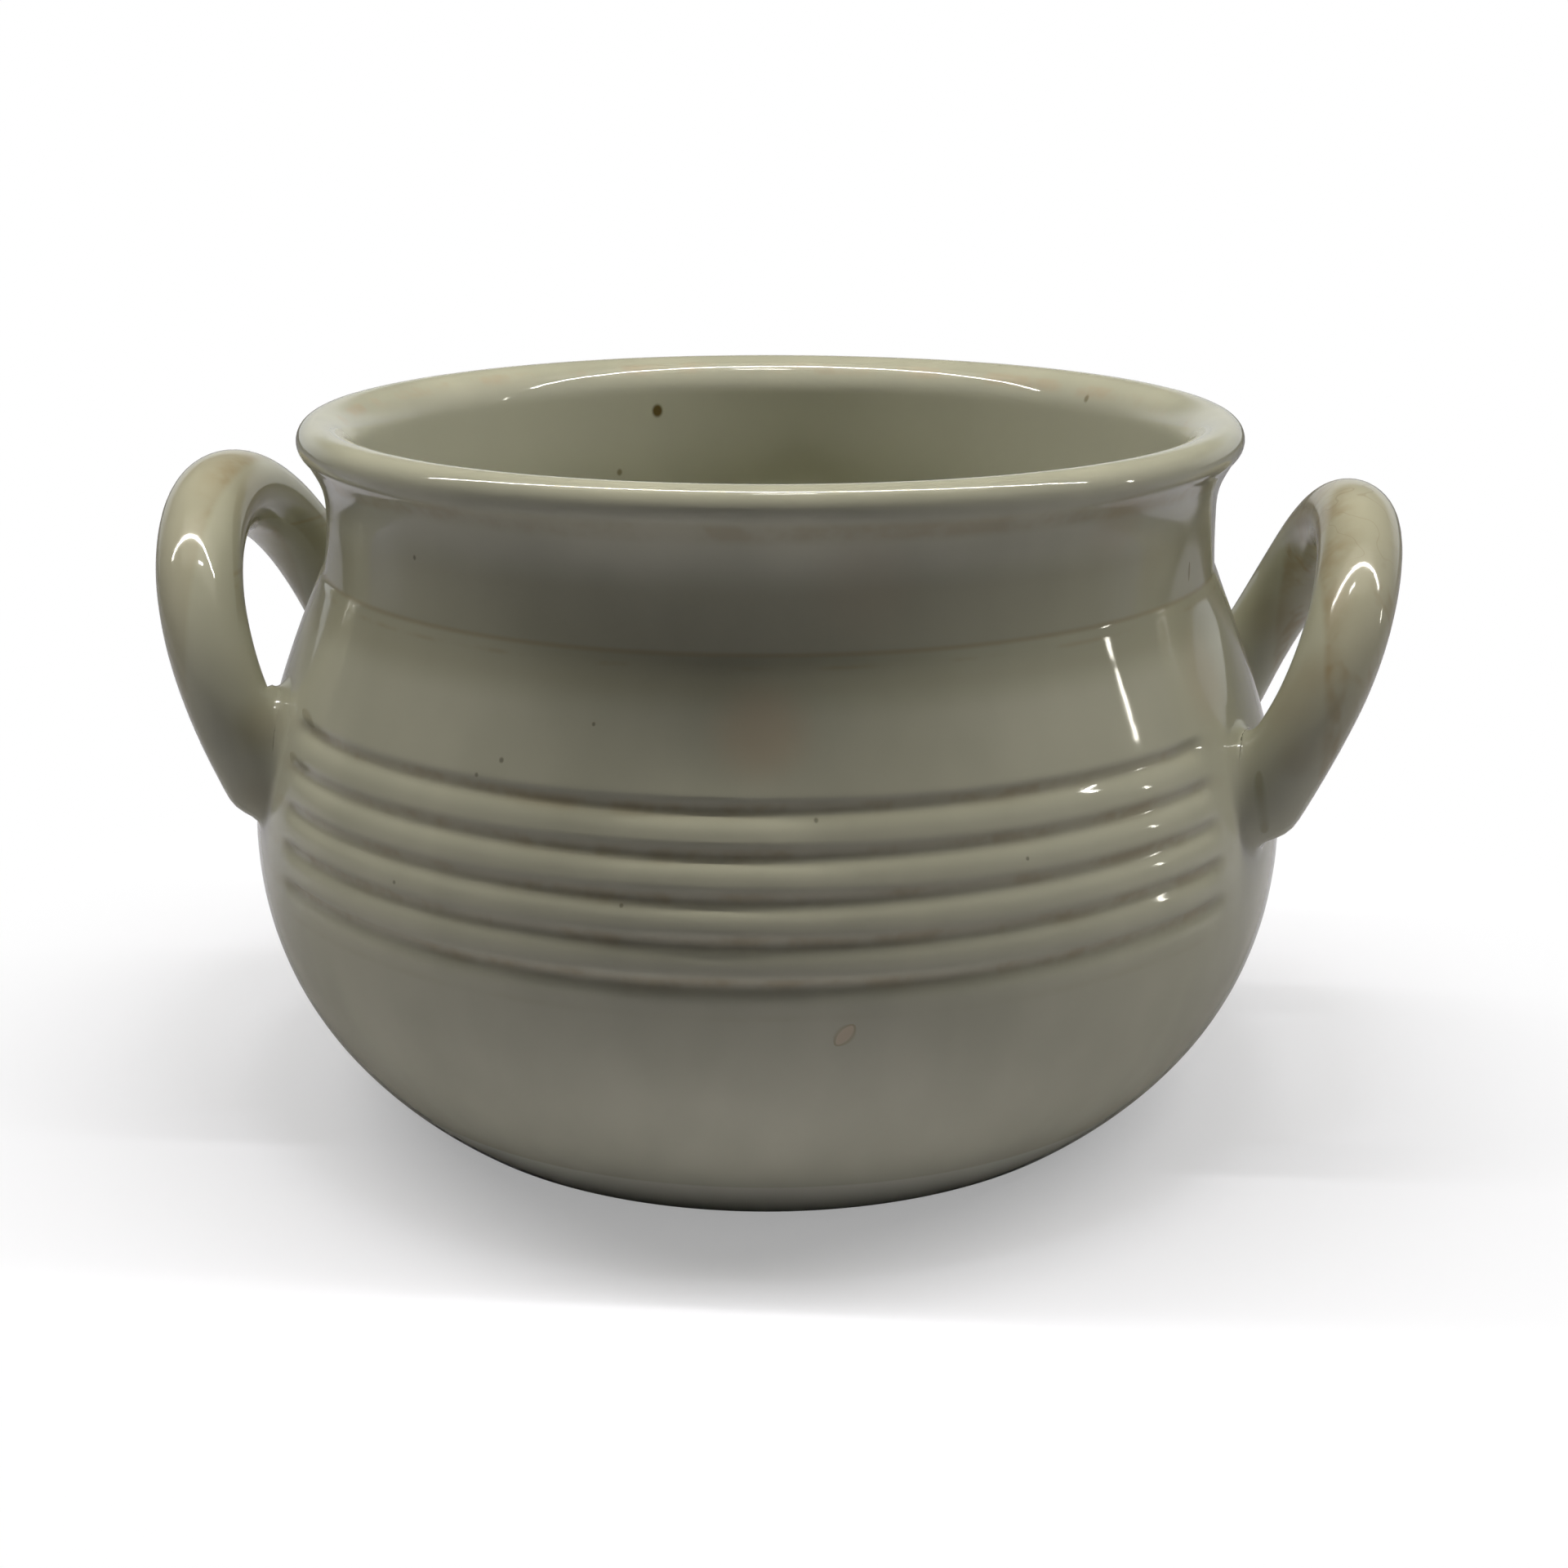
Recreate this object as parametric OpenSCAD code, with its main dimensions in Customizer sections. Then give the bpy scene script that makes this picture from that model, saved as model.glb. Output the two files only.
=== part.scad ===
// Glazed stoneware jar with a rolled lip, a tooled band and two coil handles.
// The jar stands on its foot ring, with the origin at the middle of the base.
// +X runs out through one handle and -Y faces the front.

/* [Belly] */
// Diameter at the widest part of the belly
belly_d = 168; // [154:1:182]
// Height of the widest part above the table
belly_z = 46; // [40:1:52]
// Outer diameter of the foot ring
foot_d = 120; // [104:1:132]
// Slope of the wall where it leaves the foot, from level
foot_lean = 36; // [28:1:50]
// How far the curve keeps the slope of the foot
foot_run = 13; // [6:0.5:18]
// How far the curve below the belly stays upright
belly_run = 24; // [14:1:28]

/* [Shoulder] */
// Height where the shoulder meets the neck
shoulder_z = 87.2; // [84:0.2:90]
// Diameter of the shoulder where it meets the neck
shoulder_d = 143.8; // [143:0.2:147]
// Lean of the shoulder there, from upright
shoulder_lean = 22; // [14:1:34]
// How far the curve above the belly stays upright
shoulder_run = 14; // [8:0.5:18]
// How far the curve keeps the lean of the shoulder top
shoulder_top_run = 8; // [3:0.5:12]
// Width of the small ledge between shoulder and neck
ledge_w = 0.5; // [0.2:0.1:1]
// Height of the ledge
ledge_h = 1; // [0.6:0.1:1.6]

/* [Neck and lip] */
// Height of the whole jar
jar_h = 111.5; // [106:0.5:118]
// Smallest diameter of the neck
neck_d = 141.6; // [136:0.2:144]
// Height of the smallest part of the neck
neck_z = 97.5; // [94:0.5:100]
// Outer diameter of the lip
lip_d = 149.4; // [146:0.2:156]
// Thickness of the lip
lip_t = 6.2; // [5.4:0.2:7.4]
// How far round its lower side the lip stays round, below level
lip_under = 54; // [40:1:66]

/* [Walls] */
// Thickness of the wall
wall = 5.2; // [4:0.2:6.4]
// Thickness of the floor
floor_t = 7; // [5:0.5:9]
// Width of the foot ring
ring_w = 6; // [4:0.5:9]
// Height of the hollow inside the foot ring
ring_h = 2; // [1:0.25:3]
// Rounding of the foot ring
ring_r = 1; // [0.5:0.25:1.5]
// Width of the eased corner between the floor and the rising wall
corner_w = 3; // [2:0.5:6]
// Height of the eased corner
corner_h = 1; // [0.5:0.25:2]

/* [Tooled band] */
// Number of grooves in the band
groove_n = 5; // [3:1:6]
// Height of the top groove
groove_z = 69.2; // [66:0.2:72]
// Distance from groove to groove
groove_pitch = 5.8; // [5:0.1:6.4]
// Depth of a groove
groove_depth = 0.9; // [0.5:0.1:1.4]
// Width of a groove at the wall
groove_w = 4.2; // [3:0.2:4.8]
// Half angle that the top groove runs from the front
groove_reach = 53; // [44:1:58]
// How much further each lower groove runs
groove_step = 0.8; // [0:0.1:1.2]

/* [Handles] */
// Diameter of the coil that the handles are made of
coil_d = 13; // [11:0.5:15]
// How far above the widest part of the belly the feet are pressed on the wall
handle_rise = 12; // [6:0.5:16]
// Lean of the right loop outwards, from upright
right_lean = 25.4; // [18:0.2:30]
// Lean of the left loop outwards, from upright
left_lean = 21.4; // [16:0.2:28]
// Width of the loop between the middles of its legs
handle_w = 64.6; // [56:0.2:74]
// Bend radius of the crown
crown_r = 33.5; // [31:0.5:44]
// Half angle of the crown arc
crown_half = 37; // [24:1:44]
// How far the legs turn in below their widest place
leg_tuck = 7; // [2:1:16]
// Length of the straight end of a leg, which widens towards its foot
leg_l = 5.5; // [5:0.5:9]
// How much thicker the foot is than the coil
foot_grow = 1.4; // [0.4:0.2:2.4]

/* [Hidden] */

glaze = [0.80, 0.80, 0.74];
round_fn = 96;
belly_r = belly_d / 2;
lip_r = lip_t / 2;
coil_r = coil_d / 2;
lip_mid = [lip_d / 2 - lip_r, jar_h - lip_r];
lip_start = on_circle(lip_mid, lip_r, -lip_under);
lip_inner = lip_mid - [lip_r, 0];
neck_foot = [shoulder_d / 2 - ledge_w, shoulder_z + ledge_h];
waist = [neck_d / 2, neck_z];

// Share of the way to the waist at which the lower neck curve is steered
neck_low = [0.7, 0.4];
// Share of the way from the waist at which the upper neck curve is steered
neck_high = [0.4, 0.65];
// Shares of a neck curve's height for which it stays upright below and above the waist
low_upright = 1 / 3;
high_upright = 1 / 2;
// Share of its height for which the inner face stays upright below the lip
lip_upright = 1 / 3;

// Each curve runs upwards and holds its start, its two steering points and its end.
low_curve = [
    [foot_d / 2, 0],
    [foot_d / 2 + foot_run * cos(foot_lean), foot_run * sin(foot_lean)],
    [belly_r, belly_z - belly_run],
    [belly_r, belly_z]
];
high_curve = [
    [belly_r, belly_z],
    [belly_r, belly_z + shoulder_run],
    [shoulder_d / 2, shoulder_z] + shoulder_top_run * [sin(shoulder_lean), -cos(shoulder_lean)],
    [shoulder_d / 2, shoulder_z]
];
neck_curve = [
    neck_foot,
    between(neck_foot, waist, neck_low),
    [waist[0], neck_z - (neck_z - neck_foot[1]) * low_upright],
    waist
];
flare_curve = [
    waist,
    [waist[0], neck_z + (lip_start[1] - neck_z) * high_upright],
    between(waist, lip_start, neck_high),
    lip_start
];
inner_flare = [
    waist - [wall, 0],
    [waist[0] - wall, neck_z + (lip_inner[1] - neck_z) * high_upright],
    [lip_inner[0], lip_inner[1] - (lip_inner[1] - neck_z) * lip_upright],
    lip_inner
];

// Straight pieces in each curve of the wall, and the angle of one in a rounded edge
low_n = 16;
high_n = 12;
neck_n = 6;
arc_step = 18;

function on_circle(mid, r, a) = mid + r * [cos(a), sin(a)];
function between(a, b, share) = [
    a[0] + (b[0] - a[0]) * share[0],
    a[1] + (b[1] - a[1]) * share[1]
];
function arc(mid, r, from, to) =
    let (n = ceil(abs(to - from) / arc_step))
    [for (i = [0 : n]) on_circle(mid, r, from + (to - from) * i / n)];
function spot(c, t) =
    pow(1 - t, 3) * c[0] + 3 * pow(1 - t, 2) * t * c[1]
    + 3 * (1 - t) * pow(t, 2) * c[2] + pow(t, 3) * c[3];
function heading(c, t) =
    let (v = pow(1 - t, 2) * (c[1] - c[0]) + 2 * (1 - t) * t * (c[2] - c[1])
        + pow(t, 2) * (c[3] - c[2]))
    v / norm(v);
// Points along a curve, moved in from it by a wall's thickness or a part of it
function along(c, n, first = 0, in = 0) = [
    for (i = [first : n])
        let (h = heading(c, i / n)) spot(c, i / n) + in * [-h[1], h[0]]
];
function reversed(list) = [for (i = [len(list) - 1 : -1 : 0]) list[i]];
function above(list, z) = [for (p = list) if (p[1] > z) p];

// The outer face from the foot to the start of the lip
outer_face = concat(
    along(low_curve, low_n, 1),
    along(high_curve, high_n, 1),
    along(neck_curve, neck_n),
    along(flare_curve, neck_n, 1)
);
// The inner face from the floor to the lip
inner_face = concat(
    above(along(low_curve, low_n, 0, wall), floor_t + corner_h),
    along(high_curve, high_n, 1, wall),
    along(neck_curve, neck_n, 1, wall),
    along(inner_flare, neck_n, 1)
);
// Where the floor meets the rising wall
floor_edge = [inner_face[0][0] - corner_w, floor_t];

// Height and radius of the outer face, for what is cut into it
radius_at = [for (p = outer_face) [p[1], p[0]]];
function face_r(z) = lookup(z, radius_at);

module wall_profile() {
    ring_in = foot_d / 2 - ring_w;
    polygon(concat(
        [[0, ring_h], [ring_in - ring_h, ring_h]],
        arc([ring_in + ring_r, ring_r], ring_r, 180, 270),
        arc([foot_d / 2 - ring_r, ring_r], ring_r, 270, 360 - foot_lean),
        outer_face,
        arc(lip_mid, lip_r, arc_step - lip_under, 180),
        reversed(inner_face),
        [floor_edge, [0, floor_t]]
    ));
}

module vessel() {
    rotate_extrude($fn = round_fn) wall_profile();
}

// How far outside the wall the hollow of a groove starts, and how far out its cut is clear
skim = 0.15;
groove_clear = 3;
// Straight pieces across a groove
groove_steps = 10;

// One groove of the band, centred on the front and run out by its half angle
module groove(z, half) {
    // The cut starts a little outside the wall, so it is wider than the groove that it leaves
    full_w = groove_w * 180 / acos(2 * skim / (groove_depth + skim) - 1);
    cut = [
        for (i = [0 : groove_steps])
            let (s = i / groove_steps - 0.5)
            [
                face_r(z + s * full_w) + skim
                    - (groove_depth + skim) * (1 + cos(360 * s)) / 2,
                z + s * full_w
            ]
    ];
    rotate([0, 0, -90 - half])
        rotate_extrude(angle = 2 * half, $fn = round_fn)
            polygon(concat(cut, [
                [face_r(z) + groove_clear, z + full_w / 2],
                [face_r(z) + groove_clear, z - full_w / 2]
            ]));
}

module tooled_band() {
    for (side = [0, 180], i = [0 : groove_n - 1])
        rotate([0, 0, side])
            groove(groove_z - i * groove_pitch, groove_reach + i * groove_step);
}

// The space inside the middle of the wall, where the feet of the handles stop
module heart() {
    core = concat(
        above(along(low_curve, low_n, 0, wall / 2), ring_h + ring_r),
        along(high_curve, high_n, 1, wall / 2)
    );
    rotate_extrude($fn = round_fn)
        polygon(concat([[0, core[0][1]]], core, [[0, core[len(core) - 1][1]]]));
}

haunch_r = (handle_w / 2 - crown_r * sin(crown_half)) / (1 - sin(crown_half));
haunch_mid = [0, -crown_r] + (crown_r - haunch_r) * [sin(crown_half), cos(crown_half)];
foot_r = coil_r + foot_grow / 2;
coil_fn = 48;
// Where a leg starts to run straight and where it ends, in the plane of the loop
leg_top = on_circle(haunch_mid, haunch_r, -leg_tuck);
leg_end = leg_top + leg_l * [-sin(leg_tuck), -cos(leg_tuck)];
// The foot's middle lies on the outer face, and the crown stands above it along the lean
foot_z = belly_z + handle_rise;
foot_x = sqrt(pow(face_r(foot_z), 2) - pow(leg_end[0], 2));
function crown_at(lean) = [foot_x - leg_end[1] * sin(lean), 0, foot_z - leg_end[1] * cos(lean)];
// The direction of the top in the plane of the loop
up = 90;
// How much fatter a ball is than the coil that it joins
ball_grow = 0.03;

// A bent length of coil in the plane of the loop
module bent_coil(mid, bend_r, from, to) {
    translate([mid[0], mid[1], 0])
        rotate([0, 0, from])
            rotate_extrude(angle = to - from, $fn = round_fn)
                translate([bend_r, 0]) circle(coil_r, $fn = coil_fn);
}

// The straight end of a leg, which widens from the coil to the foot
module foot_cone(from, to) {
    run = to - from;
    translate([from[0], from[1], 0])
        rotate([0, 0, atan2(run[1], run[0])])
            rotate([0, 90, 0])
                cylinder(h = norm(run), r1 = coil_r, r2 = foot_r, $fn = coil_fn);
}

// A ball that takes in the ends of the coils that meet in it. Its poles lie on their line.
module ball(mid, turn, r) {
    translate([mid[0], mid[1], 0])
        rotate([90, 0, turn])
            sphere(r + ball_grow, $fn = coil_fn);
}

// The crown of the loop, with a ball at each end of its bend
module crown() {
    mid = [0, -crown_r];
    bent_coil(mid, crown_r, up - crown_half, up + crown_half);
    for (side = [1, -1])
        let (turn = up - side * crown_half) ball(on_circle(mid, crown_r, turn), turn, coil_r);
}

// One side of the loop from the crown down to its blunt end, which is pressed on the wall
module leg() {
    bent_coil(haunch_mid, haunch_r, -leg_tuck, up - crown_half);
    ball(leg_top, -leg_tuck, coil_r);
    foot_cone(leg_top, leg_end);
    ball(leg_end, -leg_tuck, foot_r);
}

module loop() {
    union() crown();
    leg();
    mirror([1, 0, 0]) leg();
}

// The loop stands on the +X side, leaning out, and stops half way into the wall
module handle(lean) {
    difference() {
        translate(crown_at(lean))
            rotate([0, lean, 0])
                rotate([90, 0, 90])
                    loop();
        heart();
    }
}

module jar() {
    color(glaze)
        union() {
            difference() {
                vessel();
                tooled_band();
            }
            handle(right_lean);
            rotate([0, 0, 180]) handle(left_lean);
        }
}

jar();
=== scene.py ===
"""Glazed stoneware jar with a rolled lip, a tooled band and two coil handles.

The wall is turned by Geometry Nodes from its profile, the handles are coils pressed on the wall,
and all of it is joined into one body of glazed clay. The jar and the camera are laid out in
millimetres, the floor and the lamps in metres.
"""
import math

import bmesh
import bpy
import numpy as np
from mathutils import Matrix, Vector


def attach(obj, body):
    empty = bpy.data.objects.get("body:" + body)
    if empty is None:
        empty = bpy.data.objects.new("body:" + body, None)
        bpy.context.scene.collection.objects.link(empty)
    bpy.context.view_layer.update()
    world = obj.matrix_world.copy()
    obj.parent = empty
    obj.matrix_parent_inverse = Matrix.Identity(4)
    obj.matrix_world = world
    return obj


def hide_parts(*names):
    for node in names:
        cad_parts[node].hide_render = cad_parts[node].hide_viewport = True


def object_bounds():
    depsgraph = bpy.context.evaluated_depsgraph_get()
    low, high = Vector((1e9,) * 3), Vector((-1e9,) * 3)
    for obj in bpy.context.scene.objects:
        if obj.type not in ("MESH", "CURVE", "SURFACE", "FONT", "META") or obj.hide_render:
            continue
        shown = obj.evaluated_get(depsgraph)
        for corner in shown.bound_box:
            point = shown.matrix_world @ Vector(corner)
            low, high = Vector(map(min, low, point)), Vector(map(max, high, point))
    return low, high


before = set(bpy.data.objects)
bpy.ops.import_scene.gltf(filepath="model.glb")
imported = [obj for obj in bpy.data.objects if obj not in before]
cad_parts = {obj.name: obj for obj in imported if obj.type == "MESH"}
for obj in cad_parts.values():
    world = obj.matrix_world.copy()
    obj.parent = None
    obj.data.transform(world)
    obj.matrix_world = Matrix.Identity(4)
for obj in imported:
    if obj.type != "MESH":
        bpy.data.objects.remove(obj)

solid_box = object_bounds()
MM = 0.001


# Sizes of the wall. The belly is a trace slimmer than in the solid, so that the uneven jar stays in
# the solid's box, and the ledge, the inside of the lip and the tooled band are a little softer.

jar_h = solid_box[1].z / MM
belly_r = 83.9
belly_z = 46.0
foot_r = 60.0
foot_lean = 36.0
foot_run = 13.0
belly_run = 24.0
shoulder_z = 87.2
shoulder_r = 71.9
shoulder_lean = 22.0
shoulder_run = 14.0
shoulder_top_run = 8.0
ledge_w = 0.55
ledge_h = 1.0
neck_r = 70.8
neck_z = 97.5
lip_r = 74.7
lip_round = 3.1
lip_under = 54.0
lip_inside = 6.0
wall = 5.2
floor_t = 7.0
floor_ease = 3.0
ring_w = 6.0
ring_h = 2.0
ring_round = 1.0

# Where the curves below and above the neck's waist are steered, as shares of their way out and up
neck_low = (0.7, 0.4)
neck_high = (0.4, 0.65)

# How far the glaze softens each edge of the profile
edge_soft = 0.3

# The tooled band: angles are degrees off the front or the back. The step is what each lower groove
# reaches further, and the end is the stretch over which a groove fades.
groove_n = 5
groove_z = 68.0
groove_pitch = 5.8
groove_depth = 0.74
groove_w = 5.4
groove_reach = 58.7
groove_step = -0.45
groove_end = 2.4
# How much further the top groove runs on the right than on the left, and each lower one more
side_reach = 1.2
side_step = 0.6
# How far up in a groove its deepest line lies, so that its upper side is the steeper one
groove_bias = 0.75

# The handles, which differ a little, as hand-made ones do. The coil's radii are those at the
# middle of the crown, on the haunch, above the foot and at the foot, at these shares of half a loop.
coil_shares = (0.0, 0.35, 0.8, 1.0)
handles = {
    "right_handle": {
        "side": 1,
        "coil": (6.6, 6.35, 6.05, 6.9),
        "crown_r": 32.3,
        "crown_half": 36.8,
        "width": 63.0,
        "leg_tuck": 6.0,
        "leg": 5.8,
        "lean": 23.5,
        "foot_z": 58.0,
        "foot_out": 1.2,
        "bow": 1.5,
        "fillet": (3.0, 4.0),
    },
    "left_handle": {
        "side": -1,
        "coil": (6.95, 6.65, 6.3, 6.6),
        "crown_r": 34.6,
        "crown_half": 37.2,
        "width": 66.2,
        "leg_tuck": 8.0,
        "leg": 5.1,
        "lean": 20.3,
        "foot_z": 57.7,
        "foot_out": 0.0,
        "bow": 0.4,
        "fillet": (2.5, 5.5),
    },
}

# Mesh of the wall: columns round it, and the distance between rows in each zone
column_n = 300
column_crowding = 0.45
row_band = 0.45
row_lip = 0.55
row_ledge = 0.4
row_ring = 0.9
row_outside = 1.5
row_inside = 2.4

# Mesh of a handle: points round the coil, the distance between points of its middle line and
# between its rings, and how many points of that line are left to each foot
coil_sides = 48
loop_step = 0.5
ring_gap = 1.5
foot_points = 26

# Mesh of a foot: rows down its leg, and rows of its skirt out over the wall. The skirt lies a trace
# under the wall's face, goes further than the fillet is wide, and dives past a share of that width.
leg_rows = 14
skirt_rows = 14
skirt_over = 1.6
skirt_level = 0.8
skirt_sink = 0.015
skirt_slope = 0.12


# Lines in two and three dimensions

def unit(v):
    return v / np.linalg.norm(v, axis=-1, keepdims=True)


def tilt(a):
    """The direction at an angle in degrees, counted up from level."""
    return np.array([math.cos(math.radians(a)), math.sin(math.radians(a))])


def bezier(points, count=80):
    a, b, c, d = (np.array(p, float) for p in points)
    t = np.linspace(0, 1, count)[:, None]
    return (1 - t) ** 3 * a + 3 * (1 - t) ** 2 * t * b + 3 * (1 - t) * t ** 2 * c + t ** 3 * d


def arc(mid, r, start, end, count=40):
    return np.array([np.array(mid) + r * tilt(a) for a in np.linspace(start, end, count)])


def inward(points, distance):
    """The same line moved in from the outer face of a wall that it follows upwards."""
    way = unit(np.gradient(points, axis=0))
    return points + distance * np.c_[-way[:, 1], way[:, 0]]


def lengths(points):
    steps = np.linalg.norm(np.diff(points, axis=0), axis=1)
    return np.concatenate([[0.0], np.cumsum(steps)])


def at_lengths(points, where):
    along = lengths(points)
    return np.stack([np.interp(where, along, points[:, k]) for k in range(points.shape[1])], 1)


def evenly(points, step):
    total = lengths(points)[-1]
    return at_lengths(points, np.linspace(0, total, int(round(total / step)) + 1))


def softened(points, width, step=0.1):
    """The line with every corner rounded off over about this width. Its ends stay."""
    even = evenly(points, step)
    reach = int(3 * width / step)
    weight = np.exp(-0.5 * (np.arange(-reach, reach + 1) * step / width) ** 2)
    weight /= weight.sum()
    before = 2 * even[0] - even[reach:0:-1]
    after = 2 * even[-1] - even[-2:-reach - 2:-1]
    whole = np.vstack([before, even, after])
    return np.stack([np.convolve(whole[:, k], weight, "valid") for k in range(2)], 1)


def nearest(points, line):
    """For each point, the nearest place on a line of straight pieces.

    Returns the piece, the share of it before that place, and the way from there to the point.
    """
    start, piece = line[:-1], np.diff(line, axis=0)
    rel = points[:, None, :] - start[None]
    share = np.clip((rel * piece).sum(-1) / (piece * piece).sum(-1), 0, 1)
    gap = rel - share[..., None] * piece
    best = (gap * gap).sum(-1).argmin(1)
    row = np.arange(len(points))
    return best, share[row, best], gap[row, best]


# The profile of the wall, from the middle of the base round the lip to the middle of the floor

lip_mid = np.array([lip_r - lip_round, jar_h - lip_round])
lip_start = lip_mid + lip_round * tilt(-lip_under)
lip_crest = lip_mid + [0, lip_round]
lip_inner = lip_crest - lip_inside
shoulder = np.array([shoulder_r, shoulder_z])
neck_foot = shoulder + [-ledge_w, ledge_h]
waist = np.array([neck_r, neck_z])
foot = np.array([foot_r, 0.0])

low_curve = bezier([
    foot,
    foot + foot_run * tilt(foot_lean),
    [belly_r, belly_z - belly_run],
    [belly_r, belly_z],
])
high_curve = bezier([
    [belly_r, belly_z],
    [belly_r, belly_z + shoulder_run],
    shoulder + shoulder_top_run * tilt(shoulder_lean - 90),
    shoulder,
])
neck_curve = bezier([
    neck_foot,
    neck_foot + (waist - neck_foot) * neck_low,
    waist - [0, (neck_z - neck_foot[1]) / 3],
    waist,
])
flare_curve = bezier([
    waist,
    waist + [0, (lip_start[1] - neck_z) / 2],
    waist + (lip_start - waist) * neck_high,
    lip_start,
])
inner_flare = bezier([
    waist - [wall, 0],
    waist + [-wall, (lip_inner[1] - neck_z) / 2],
    lip_inner - [0, (lip_inner[1] - neck_z) / 3],
    lip_inner,
])


def wall_profile():
    ring_in = foot_r - ring_w
    base = [
        [[0, ring_h], [ring_in - ring_h, ring_h]],
        arc([ring_in + ring_round, ring_round], ring_round, 180, 270),
        arc([foot_r - ring_round, ring_round], ring_round, 270, 360 - foot_lean),
    ]
    lip = arc(lip_mid, lip_round, 1 - lip_under, 90)
    outer = [low_curve[1:], high_curve[1:], neck_curve, flare_curve[1:], lip]
    inner = [inward(low_curve, wall), inward(high_curve, wall)[1:], inward(neck_curve, wall)[1:]]
    inside_lip = arc(lip_crest - [0, lip_inside], lip_inside, 180, 91)
    inner = np.vstack(inner + [inner_flare[1:], inside_lip[1:]])
    inner = inner[inner[:, 1] > floor_t + floor_ease / 3]
    inside = [inner[::-1], [[inner[0, 0] - floor_ease, floor_t], [0, floor_t]]]
    return softened(np.vstack(base + outer + inside), edge_soft)


def row_gap(point, outside):
    """Distance between the rows of the wall's mesh at a point of the profile."""
    r, z = point
    if z > jar_h - 2.2 * lip_round:
        return row_lip
    if not outside:
        return row_inside
    if groove_z - (groove_n - 0.3) * groove_pitch < z < groove_z + groove_w:
        return row_band
    if z < 1.5 * ring_h:
        return row_ring if r > foot_r - 2 * ring_w else row_inside
    return row_ledge if abs(z - shoulder_z) < 3 * ledge_h else row_outside


def profile_rows():
    line = wall_profile()
    top = line[:, 1].argmax()
    density = np.array([1 / row_gap(p, i < top) for i, p in enumerate(line)])
    blur = 20
    smooth = np.ones(2 * blur) / (2 * blur)
    density = np.convolve(np.pad(density, blur, "edge"), smooth, "same")[blur:-blur]
    along = lengths(line)
    count = np.concatenate([[0], np.cumsum((density[1:] + density[:-1]) / 2 * np.diff(along))])
    rows = int(count[-1])
    return at_lengths(line, np.interp(np.linspace(0, count[-1], rows), count, along))


# The outer face alone, on which the handles are pressed
outer_face = np.vstack([low_curve, high_curve[1:], neck_curve, flare_curve[1:]])
outer_face = evenly(softened(outer_face, edge_soft), 0.6)


def face_r(height):
    """Radius of the outer face at a height."""
    return np.interp(height, outer_face[:, 1], outer_face[:, 0])


def wall_gap(points):
    """How far each point lies outside the outer face of the wall."""
    flat = np.c_[np.hypot(points[:, 0], points[:, 1]), points[:, 2]]
    piece, _, gap = nearest(flat, outer_face)
    way = np.diff(outer_face, axis=0)[piece]
    side = gap[:, 0] * way[:, 1] - gap[:, 1] * way[:, 0]
    return np.sign(side) * np.linalg.norm(gap, axis=1)


def gradient(field, points, step=0.02):
    out = np.empty_like(points)
    for k in range(3):
        move = np.zeros(3)
        move[k] = step
        out[:, k] = (field(points + move) - field(points - move)) / (2 * step)
    return out


# Nodes, written as Python

class Link:
    """A socket of a node tree. Python's signs between links and numbers add Math nodes."""

    def __init__(self, tree, socket):
        self.tree = tree
        self.socket = socket

    def output(self, name):
        """Another output of the same node."""
        return Link(self.tree, self.socket.node.outputs[name])

    def maths(self, operation, *others):
        return self.tree.maths(operation, self, *others)

    def __add__(self, other):
        return self.maths("ADD", other)

    def __sub__(self, other):
        return self.maths("SUBTRACT", other)

    def __rsub__(self, other):
        return self.tree.maths("SUBTRACT", other, self)

    def __mul__(self, other):
        return self.maths("MULTIPLY", other)

    def __truediv__(self, other):
        return self.maths("DIVIDE", other)

    def __rtruediv__(self, other):
        return self.tree.maths("DIVIDE", other, self)

    def __pow__(self, other):
        return self.maths("POWER", other)

    def __neg__(self):
        return self.maths("MULTIPLY", -1.0)

    def __abs__(self):
        return self.maths("ABSOLUTE")

    __radd__ = __add__
    __rmul__ = __mul__

    def clamp(self, low=0.0, high=1.0):
        return self.maths("MAXIMUM", low).maths("MINIMUM", high)

    def step(self, start, end):
        """Rises smoothly from 0 at the start to 1 at the end, which may lie below the start."""
        share = ((self - start) / (end - start)).clamp()
        return share * share * (3.0 - 2.0 * share)

    def band(self, start, end, ease):
        """1 between two values and 0 outside them, with soft edges."""
        return self.step(start - ease, start + ease) * self.step(end + ease, end - ease)


class Tree:
    """A node tree that is filled by calls."""

    def __init__(self, tree):
        self.tree = tree

    def node(self, kind, settings=None, values=None, out=0):
        """Adds a node: its settings first, then the values or links of its sockets.

        Returns one of its outputs, or nothing where it has none.
        """
        made = self.tree.nodes.new(kind)
        for name, value in (settings or {}).items():
            setattr(made, name, value)
        for name, value in (values or {}).items():
            if isinstance(value, Link):
                self.tree.links.new(value.socket, made.inputs[name])
            else:
                made.inputs[name].default_value = value
        return Link(self, made.outputs[out]) if len(made.outputs) else None

    def maths(self, operation, *values):
        return self.node("ShaderNodeMath", {"operation": operation}, dict(enumerate(values)))

    def vector_maths(self, operation, *values, out=0):
        return self.node("ShaderNodeVectorMath", {"operation": operation}, dict(enumerate(values)), out)

    def parts(self, vector):
        """The three numbers of a vector."""
        split = self.node("ShaderNodeSeparateXYZ", values={0: vector})
        return [split.output(k) for k in range(3)]

    def vector(self, x, y, z):
        return self.node("ShaderNodeCombineXYZ", values={0: x, 1: y, 2: z})

    def blend(self, share, first, second):
        """Mixes two colours by a share."""
        settings = {"data_type": "RGBA", "clamp_factor": True}
        return self.node("ShaderNodeMix", settings, {0: share, 6: first, 7: second}, out=2)


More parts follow.
